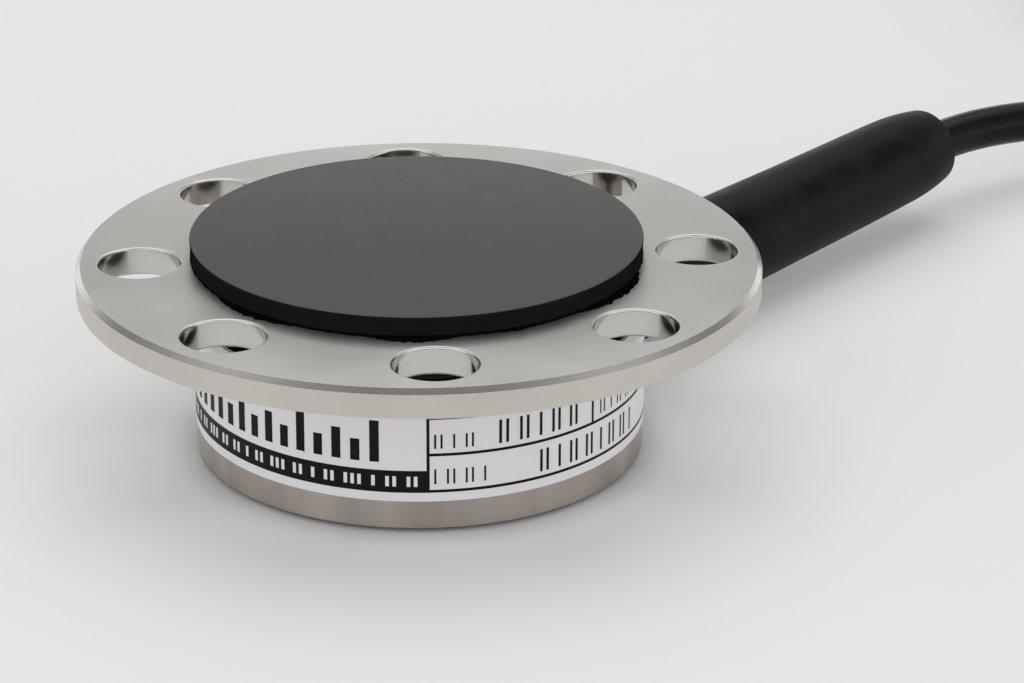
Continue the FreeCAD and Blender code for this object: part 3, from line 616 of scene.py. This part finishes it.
def mottled(name, dark, light, grain_mm, roughness, spread, metallic=0.0):
    """A plain finish whose colour and gloss wander a little over the surface."""
    finish, tree, shader = new_finish(name)
    place = add_node(tree, "ShaderNodeTexCoord").outputs["Object"]
    cloud = add_node(
        tree,
        "ShaderNodeTexNoise",
        {"Vector": place, "Scale": 1 / (grain_mm * MM), "Detail": 4.0, "Roughness": 0.6},
    )
    tone = add_node(
        tree,
        "ShaderNodeMix",
        {0: cloud.outputs["Fac"], 6: linear(dark), 7: linear(light)},
        data_type="RGBA",
    )
    gloss = add_node(
        tree,
        "ShaderNodeMapRange",
        {"Value": cloud.outputs["Fac"], 1: 0.3, 2: 0.7, 3: roughness - spread, 4: roughness + spread},
    )
    relief = add_node(
        tree,
        "ShaderNodeBump",
        {"Strength": 0.2, "Distance": 0.01 * MM, "Height": cloud.outputs["Fac"]},
    )
    tree.links.new(tone.outputs[2], shader.inputs["Base Color"])
    tree.links.new(gloss.outputs[0], shader.inputs["Roughness"])
    tree.links.new(relief.outputs[0], shader.inputs["Normal"])
    shader.inputs["Metallic"].default_value = metallic
    return finish


# Screw steel is bright with a soft gloss, and seal rubber is a dull black.
bright_steel = mottled("bright screw steel", "#8f8e8b", "#a9a7a3", 1.2, 0.28, 0.06, metallic=1.0)
for name in ("cover_screws", "board_screw", "board_washer"):
    dress(name, bright_steel)
dress("cover_seal", mottled("moulded seal rubber", "#101010", "#1b1b1b", 0.8, 0.5, 0.08))

# Gauges, leads, board and resistors: foil grids on amber film bonded under the diaphragm, wired to a small
# green board with glassy black chip resistors that trim the bridge. The wires are copper red under their
# enamel. All of this is closed in by the cover.
gauge_film = mottled("polyimide gauge film", "#8a4b14", "#b06a22", 0.5, 0.3, 0.06)
lead_wire = mottled("enamelled copper wire", "#7a3018", "#a5502a", 0.4, 0.3, 0.05, metallic=1.0)
for number in range(1, 5):
    dress(f"strain_gauge_{number}", gauge_film)
    dress(f"gauge_lead_{number}", lead_wire)
dress("bridge_board", mottled("green solder mask", "#0f4a24", "#17602f", 1.5, 0.35, 0.06))
chip = mottled("glazed chip resistor", "#121214", "#26262a", 0.6, 0.35, 0.05)
for name in ("span_resistor", "zero_resistor", "thermal_resistor"):
    dress(name, chip)

# Cable outlet inside the cell: a turned steel spigot pressed into the wall, a dull rubber former beyond it,
# a crimped ferrule of bright brass, and the cable's four cores, in plain colours with a soft gloss, with the
# bare, bright drain wire of its screen.
dress("gland_spigot", turned_steel("turned spigot steel", "#bdbbb5", "#aaa7a0", 0.3, 0.3))
dress("relief_former", mottled("moulded former rubber", "#141414", "#1f1f1f", 1.0, 0.55, 0.06))
dress("cable_clamp", mottled("crimped brass", "#a07a35", "#bb9148", 0.8, 0.3, 0.06, metallic=1.0))
dress("screen_drain", mottled("tinned copper strands", "#a8a59d", "#c4c1ba", 0.3, 0.3, 0.05, metallic=1.0))
core_colours = {
    "red": ("#a3161a", "#b81f22"),
    "green": ("#1c7a35", "#248b40"),
    "yellow": ("#d6b21a", "#e3c22c"),
    "blue": ("#173f9c", "#1f4cb0"),
}
for colour_name, (dark, light) in core_colours.items():
    insulation = mottled(f"{colour_name} core insulation", dark, light, 1.4, 0.34, 0.05)
    dress(f"core_{colour_name}", insulation)
    dress(f"tail_{colour_name}", insulation)

# Heat-shrink sleeve: black polyolefin tube shrunk over the spigot and former. It leaves the body level, rises
# and tapers a little, and draws in to a blunt lip, from which the cable comes out of a lined recess.
spigot_height = 6.65
bend_start, bend_reach, relief_tilt = 34.0, 4.0, math.radians(1.6)
sleeve_start, taper_start, shoulder_start, lip_end = 23.1, 39.0, 82.8, 89.85
wide_outer, narrow_outer, lip_outer = 5.8, 5.23, 4.58
wide_inner, narrow_inner, lip_inner = 5.0, 4.36, 3.7
former_end, lining_inner, lining_depth = 85.0, 2.5, 0.7
lip_round, lip_break, draw_power = 0.35, 0.1, 1.9
lining_rise, lining_taper, lining_step = 0.2, 0.15, 0.4
swell_height, swell_length, swell_width = 0.07, 9.0, 5.0
swell_start, skin_depth, weld = 1.0, 0.3, 0.001


def outer_radius(x):
    """Radius of the sleeve's skin: level over the spigot, then drawing in, and a rounded shoulder."""
    taper = min(1.0, max(0.0, (x - taper_start) / (shoulder_start - taper_start)))
    drawn = max(0.0, (x - shoulder_start) / (lip_end - lip_round - shoulder_start))
    straight = wide_outer + (narrow_outer - wide_outer) * taper
    return straight - (narrow_outer - lip_outer) * drawn**draw_power


straight_steps = 30
shoulder_steps = 12
lip_steps = 4
stations = []
for k in range(1, straight_steps + 1):
    x = sleeve_start + (shoulder_start - sleeve_start) * k / straight_steps
    stations.append((x, outer_radius(x)))
for k in range(1, shoulder_steps + 1):
    x = shoulder_start + (lip_end - lip_round - shoulder_start) * k / shoulder_steps
    stations.append((x, outer_radius(x)))
for k in range(1, lip_steps + 1):
    swing = math.pi / 2 * k / lip_steps
    x = lip_end - lip_round * (1 - math.sin(swing))
    stations.append((x, lip_outer - lip_round * (1 - math.cos(swing))))
stations += [
    (lip_end, lip_inner + lip_break),
    (lip_end - lip_break, lip_inner),
    (lip_end - lining_depth + lining_rise, lip_inner - lining_taper),
    (lip_end - lining_depth, lining_inner),
    (former_end + lining_step, lining_inner),
    (former_end, narrow_inner),
    (taper_start, wide_inner),
    (sleeve_start, wide_inner),
]
bpy.ops.object.select_all(action="DESELECT")
bpy.ops.mesh.primitive_circle_add(
    vertices=96,
    radius=wide_outer,
    location=(sleeve_start, 0, 0),
    rotation=(0, math.pi / 2, 0),
)
sleeve = bpy.context.active_object
sleeve.name = "heat_shrink_outlet"
bpy.ops.object.transform_apply(location=True, rotation=True, scale=True)
edit_only(sleeve)
last_x, last_radius = sleeve_start, wide_outer
for x, radius in stations:
    bpy.ops.mesh.extrude_region_move(TRANSFORM_OT_translate={"value": (x - last_x, 0, 0)})
    grow = radius / last_radius
    bpy.ops.transform.resize(value=(1, grow, grow), center_override=(x, 0, 0))
    last_x, last_radius = x, radius
bpy.ops.mesh.select_mode(type="VERT")
select_where(sleeve, "vertices", lambda vertex: abs(vertex.co.x - sleeve_start) < weld)
bpy.ops.mesh.bridge_edge_loops()
bpy.ops.mesh.select_all(action="SELECT")
bpy.ops.mesh.remove_doubles(threshold=weld)
bpy.ops.mesh.normals_make_consistent(inside=False)
bpy.ops.object.mode_set(mode="OBJECT")
bend_radius = bend_reach / math.tan(relief_tilt / 2)
for vertex in sleeve.data.vertices:
    x, y, z = vertex.co
    outside = math.hypot(y, z) > min(wide_outer, outer_radius(x)) - skin_depth
    if outside and x > sleeve_start + swell_start:
        swell = swell_height * noise.noise(Vector((x / swell_length, y / swell_width, z / swell_width)))
        y *= 1 + swell / narrow_outer
        z *= 1 + swell / narrow_outer
    past = x - (bend_start - bend_reach)
    if past > 0:
        turned = min(past / bend_radius, relief_tilt)
        beyond = past - bend_radius * turned
        x = bend_start - bend_reach + bend_radius * math.sin(turned) + beyond * math.cos(turned)
        rise = bend_radius * (1 - math.cos(turned)) + beyond * math.sin(turned)
        x, z = x - z * math.sin(turned), rise + z * math.cos(turned)
    vertex.co = Vector((x, y, z + spigot_height)) * MM
bpy.ops.object.shade_smooth_by_angle(angle=math.radians(40))

# Shrunk black polyolefin: a satin black skin with paler smudges from handling and a fine, even grain.
polyolefin, tree, shader = new_finish("shrunk black polyolefin")
place = add_node(tree, "ShaderNodeTexCoord").outputs["Object"]
smear_mm = 7.0
smear = add_node(
    tree,
    "ShaderNodeTexNoise",
    {"Vector": place, "Scale": 1 / (smear_mm * MM), "Detail": 5.0, "Roughness": 0.6, "Distortion": 0.6},
)
skin_mm = 0.35
skin = add_node(
    tree,
    "ShaderNodeTexNoise",
    {"Vector": place, "Scale": 1 / (skin_mm * MM), "Detail": 2.0},
)
smudged = add_node(tree, "ShaderNodeMapRange", {"Value": smear.outputs["Fac"], 1: 0.45, 2: 0.72})
tone = add_node(
    tree,
    "ShaderNodeMix",
    {0: smudged.outputs[0], 6: linear("#070707"), 7: linear("#191918")},
    data_type="RGBA",
)
satin = add_node(
    tree,
    "ShaderNodeMapRange",
    {"Value": smear.outputs["Fac"], 1: 0.3, 2: 0.7, 3: 0.36, 4: 0.5},
)
relief = add_node(
    tree,
    "ShaderNodeBump",
    {"Strength": 0.12, "Distance": 0.01 * MM, "Height": skin.outputs["Fac"]},
)
tree.links.new(tone.outputs[2], shader.inputs["Base Color"])
tree.links.new(satin.outputs[0], shader.inputs["Roughness"])
tree.links.new(relief.outputs[0], shader.inputs["Normal"])
shader.inputs["IOR"].default_value = 1.18
sleeve.data.materials.append(polyolefin)
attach(sleeve, "root")
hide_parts("heat_shrink_sleeve")

# Signal cable: round black PVC over a screen and four cores. It leaves the sleeve just above the floor,
# comes down to it and runs into a flat coil of three layers, tied once, where the rest of its two metres is
# put away.
cable_radius = 2.4
coil_centre = (192.0, 0.0)
entry_angle = -115.5
route = [
    (85.980, 0.0, 8.102),
    (93.777, 0.0, 8.320),
    (104.0, -2.4, 8.15),
    (119.0, -6.5, 6.1),
    (136.0, -11.8, 3.6),
    (150.111, -20.459, 2.4),
    (159.137, -24.764, 2.4),
]
# Turns from the coil's start, and the radius and height of the cable's middle there, in millimetres.
layers = [
    (0.0, 36.5, 2.4),
    (0.55, 36.5, 2.4),
    (1.0, 31.7, 2.4),
    (1.55, 31.7, 2.4),
    (2.0, 26.9, 2.4),
    (2.55, 26.9, 2.4),
    (3.0, 22.1, 2.4),
    (3.5, 19.7, 2.4),
    (4.0, 19.7, 7.2),
    (7.5, 36.5, 7.2),
    (8.0, 36.5, 12.0),
    (8.5, 36.5, 12.0),
    (8.7, 33.0, 12.0),
    (9.65, 28.6, 12.0),
    (10.043, 22.2, 12.25),
]
points_per_turn = 24
# The curve touches the middle of each span between its points, so the points lie a little further out.
point_spread = 1 / math.cos(math.pi / points_per_turn)
# Near the tie the turns ride up over its strap. They start to rise lift_reach degrees from it and are up
# lift_slope degrees nearer. The lowest ones rise by tie_lift, in millimetres, and higher ones by less.
tie_angle, lift_reach, lift_slope = 75.0, 40, 26
tie_lift, lift_fade = 1.0, 13


def on_coil(turn):
    """A point of the coil by the number of turns from its start."""
    for (first, wide, low), (last, narrow, high) in zip(layers, layers[1:]):
        if turn <= last:
            break
    share = (turn - first) / (last - first)
    radius = wide + (narrow - wide) * share
    height = low + (high - low) * share
    angle = entry_angle + 360 * turn
    from_tie = abs((angle - tie_angle + 180) % 360 - 180)
    over_strap = max(0.0, min(1.0, (lift_reach - from_tie) / lift_slope))
    lift = tie_lift * over_strap * (1 - (height - cable_radius) / lift_fade)
    turned = math.radians(angle)
    return (
        coil_centre[0] + radius * point_spread * math.cos(turned),
        coil_centre[1] + radius * point_spread * math.sin(turned),
        height + lift,
    )


last_turn = layers[-1][0]
coil_points = round(last_turn * points_per_turn)
route += [on_coil(last_turn * k / coil_points) for k in range(coil_points + 1)]
line = bpy.data.curves.new("signal_cable", "CURVE")
line.dimensions = "3D"
line.bevel_depth = cable_radius * MM
line.bevel_resolution = 6
line.use_fill_caps = True
line.resolution_u = 5
spline = line.splines.new("NURBS")
spline.points.add(len(route) - 1)
for point, (x, y, z) in zip(spline.points, route):
    point.co = (x * MM, y * MM, z * MM, 1)
spline.order_u = 3
spline.use_endpoint_u = True
spline.use_smooth = True
cable = bpy.data.objects.new("signal_cable", line)
bpy.context.scene.collection.objects.link(cable)

# Extruded black PVC: smoother than the sleeve, with a soft shine that wanders along the cable.
pvc, tree, shader = new_finish("extruded black PVC")
place = add_node(tree, "ShaderNodeTexCoord").outputs["Object"]
flow_mm = 4.0
flow = add_node(
    tree,
    "ShaderNodeTexNoise",
    {"Vector": place, "Scale": 1 / (flow_mm * MM), "Detail": 4.0, "Roughness": 0.55},
)
tone = add_node(
    tree,
    "ShaderNodeMix",
    {0: flow.outputs["Fac"], 6: linear("#070707"), 7: linear("#0e0e0f")},
    data_type="RGBA",
)
shine = add_node(
    tree,
    "ShaderNodeMapRange",
    {"Value": flow.outputs["Fac"], 1: 0.3, 2: 0.7, 3: 0.26, 4: 0.36},
)
relief = add_node(
    tree,
    "ShaderNodeBump",
    {"Strength": 0.1, "Distance": 0.02 * MM, "Height": flow.outputs["Fac"]},
)
tree.links.new(tone.outputs[2], shader.inputs["Base Color"])
tree.links.new(shine.outputs[0], shader.inputs["Roughness"])
tree.links.new(relief.outputs[0], shader.inputs["Normal"])
shader.inputs["IOR"].default_value = 1.21
line.materials.append(pvc)
dress("cable_tail", pvc)
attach(cable, "root")
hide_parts("cable_run", "cable_coil")

# Coil tie and cable end: a moulded tie of satin black nylon drawn round the coil, and a short shrunk collar
# over the cut sheath, from which the four cores fan out on the coil.
dress("coil_tie", mottled("moulded nylon", "#121213", "#1d1d1e", 1.0, 0.42, 0.06))
dress("end_collar", polyolefin)
on_cable = ["relief_former", "cable_tail", "coil_tie", "end_collar"]
on_cable += [f"tail_{colour_name}" for colour_name in core_colours]

# Floor: a pale matt board that runs out past the picture on every side. A fifth of what the eye sees of it is
# its plain colour, as where a board is lit from below, so the shadows on it stay soft, except close to the
# cell's foot.
floor_colour = linear("#e6e6e6")
floor_radius, floor_drop = 2500.0, 0.02
flat_share = 0.2
shade_start, shade_end = 23.2, 27.0
bpy.ops.object.select_all(action="DESELECT")
bpy.ops.mesh.primitive_circle_add(
    vertices=128,
    radius=floor_radius * MM,
    fill_type="NGON",
    location=(0, 0, -floor_drop * MM),
)
floor = bpy.context.active_object
floor.name = "floor"
bpy.ops.object.transform_apply(location=True, rotation=True, scale=True)
sheet, tree, shader = new_finish("pale matt board")
shader.inputs["Base Color"].default_value = floor_colour
shader.inputs["Roughness"].default_value = 0.9
shader.inputs["Specular IOR Level"].default_value = 0.1
seen = add_node(tree, "ShaderNodeLightPath").outputs
mirrored = add_node(
    tree,
    "ShaderNodeMath",
    {0: seen["Is Glossy Ray"], 1: seen["Is Transmission Ray"]},
    operation="MAXIMUM",
)
either = add_node(
    tree,
    "ShaderNodeMath",
    {0: seen["Is Camera Ray"], 1: mirrored.outputs[0]},
    operation="MAXIMUM",
)
place = add_node(tree, "ShaderNodeTexCoord").outputs["Object"]
from_axis = add_node(tree, "ShaderNodeVectorMath", {0: place}, operation="LENGTH").outputs["Value"]
clear = add_node(
    tree,
    "ShaderNodeMapRange",
    {"Value": from_axis, 1: shade_start * MM, 2: shade_end * MM, 3: 0.0, 4: flat_share},
    interpolation_type="SMOOTHSTEP",
)
share = add_node(
    tree,
    "ShaderNodeMath",
    {0: either.outputs[0], 1: clear.outputs[0]},
    operation="MULTIPLY",
)
plain = add_node(tree, "ShaderNodeEmission", {"Color": floor_colour, "Strength": 1.0})
both = add_node(
    tree,
    "ShaderNodeMixShader",
    {0: share.outputs[0], 1: shader.outputs[0], 2: plain.outputs[0]},
)
tree.links.new(both.outputs[0], tree.nodes["Material Output"].inputs["Surface"])
floor.data.materials.append(sheet)

# Studio light: one large soft box behind and above the cell, walls that are lighter on the camera's side,
# a glow low down round the back and sides, and a dark ceiling, which draws the thin dark line along the
# flange's chamfer.
camera_eye = Vector((-285.014, -256.787, 168.691)) * MM
camera_side = Vector((camera_eye.x, camera_eye.y, 0)).normalized()
# Levels of light, and where each begins and ends: as a height, or as the cosine of an angle from the camera's
# side or from the middle of the soft box.
back_wall, front_wall, wall_spread = 0.177, 1.059, 0.8
glow_level, glow_low, glow_high, glow_side, glow_front = 1.06, 0.05, 0.474, 0.4, 0.9
ceiling_level, ceiling_low, ceiling_high = 0.1, 0.7, 0.9
box_level, box_rim, box_full = 1.74, 0.776, 0.856
box_rise = math.radians(68.6)
surround = bpy.data.worlds.new("studio")
surround.use_nodes = True
tree = surround.node_tree
tree.nodes.clear()
direction = add_node(tree, "ShaderNodeTexCoord").outputs["Generated"]
height = add_node(tree, "ShaderNodeSeparateXYZ", {0: direction}).outputs["Z"]
level_way = add_node(tree, "ShaderNodeVectorMath", {0: direction, 1: (1, 1, 0)}, operation="MULTIPLY")
compass = add_node(tree, "ShaderNodeVectorMath", {0: level_way.outputs[0]}, operation="NORMALIZE")
ahead = add_node(
    tree,
    "ShaderNodeVectorMath",
    {0: compass.outputs[0], 1: camera_side},
    operation="DOT_PRODUCT",
)
towards = ahead.outputs["Value"]
walls = add_node(
    tree,
    "ShaderNodeMapRange",
    {"Value": towards, 1: -wall_spread, 2: wall_spread, 3: back_wall, 4: front_wall},
    interpolation_type="SMOOTHSTEP",
)
low_down = add_node(
    tree,
    "ShaderNodeMapRange",
    {"Value": height, 1: glow_low, 2: glow_high, 3: 1.0, 4: 0.0},
    interpolation_type="SMOOTHSTEP",
)
back_and_sides = add_node(
    tree,
    "ShaderNodeMapRange",
    {"Value": towards, 1: glow_side, 2: glow_front, 3: glow_level, 4: 0.0},
    interpolation_type="SMOOTHSTEP",
)
glow = add_node(
    tree,
    "ShaderNodeMath",
    {0: low_down.outputs[0], 1: back_and_sides.outputs[0]},
    operation="MULTIPLY",
)
lit_walls = add_node(tree, "ShaderNodeMath", {0: walls.outputs[0], 1: glow.outputs[0]}, operation="ADD")
overhead = add_node(
    tree,
    "ShaderNodeMapRange",
    {"Value": height, 1: ceiling_low, 2: ceiling_high, 3: 0.0, 4: 1.0},
    interpolation_type="SMOOTHSTEP",
)
room = add_node(
    tree,
    "ShaderNodeMix",
    {0: overhead.outputs[0], 2: lit_walls.outputs[0], 3: ceiling_level},
    data_type="FLOAT",
)
box_way = Vector((0, 0, math.sin(box_rise))) - camera_side * math.cos(box_rise)
near_box = add_node(tree, "ShaderNodeVectorMath", {0: direction, 1: box_way}, operation="DOT_PRODUCT")
soft_box = add_node(
    tree,
    "ShaderNodeMapRange",
    {"Value": near_box.outputs["Value"], 1: box_rim, 2: box_full, 3: 0.0, 4: 1.0},
    interpolation_type="SMOOTHSTEP",
)
level = add_node(
    tree,
    "ShaderNodeMix",
    {0: soft_box.outputs[0], 2: room.outputs[0], 3: box_level},
    data_type="FLOAT",
)
sky = add_node(tree, "ShaderNodeBackground", {"Color": (1, 1, 1, 1), "Strength": level.outputs[0]})
add_node(tree, "ShaderNodeOutputWorld", {"Surface": sky.outputs[0]})
bpy.context.scene.world = surround

# Camera: a long lens that looks down on the cell from its front left, with the cable going off to the right.
# It is turned about its own line of sight by a fifth of a degree, as the photograph's is.
camera_aim = Vector((8.041, -5.608, 10.0)) * MM
camera_roll = 0.0035
lens = bpy.data.cameras.new("camera")
lens.lens = 141.54
lens.sensor_width = 36.0
lens.clip_start = 0.01
lens.clip_end = 20.0
camera = bpy.data.objects.new("camera", lens)
camera.location = camera_eye
camera.rotation_mode = "QUATERNION"
upright_view = (camera_aim - camera_eye).to_track_quat("-Z", "Y")
camera.rotation_quaternion = upright_view @ Quaternion((0, 0, 1), camera_roll)
bpy.context.scene.collection.objects.link(camera)
bpy.context.scene.camera = camera
bpy.context.scene.view_settings.view_transform = "Standard"
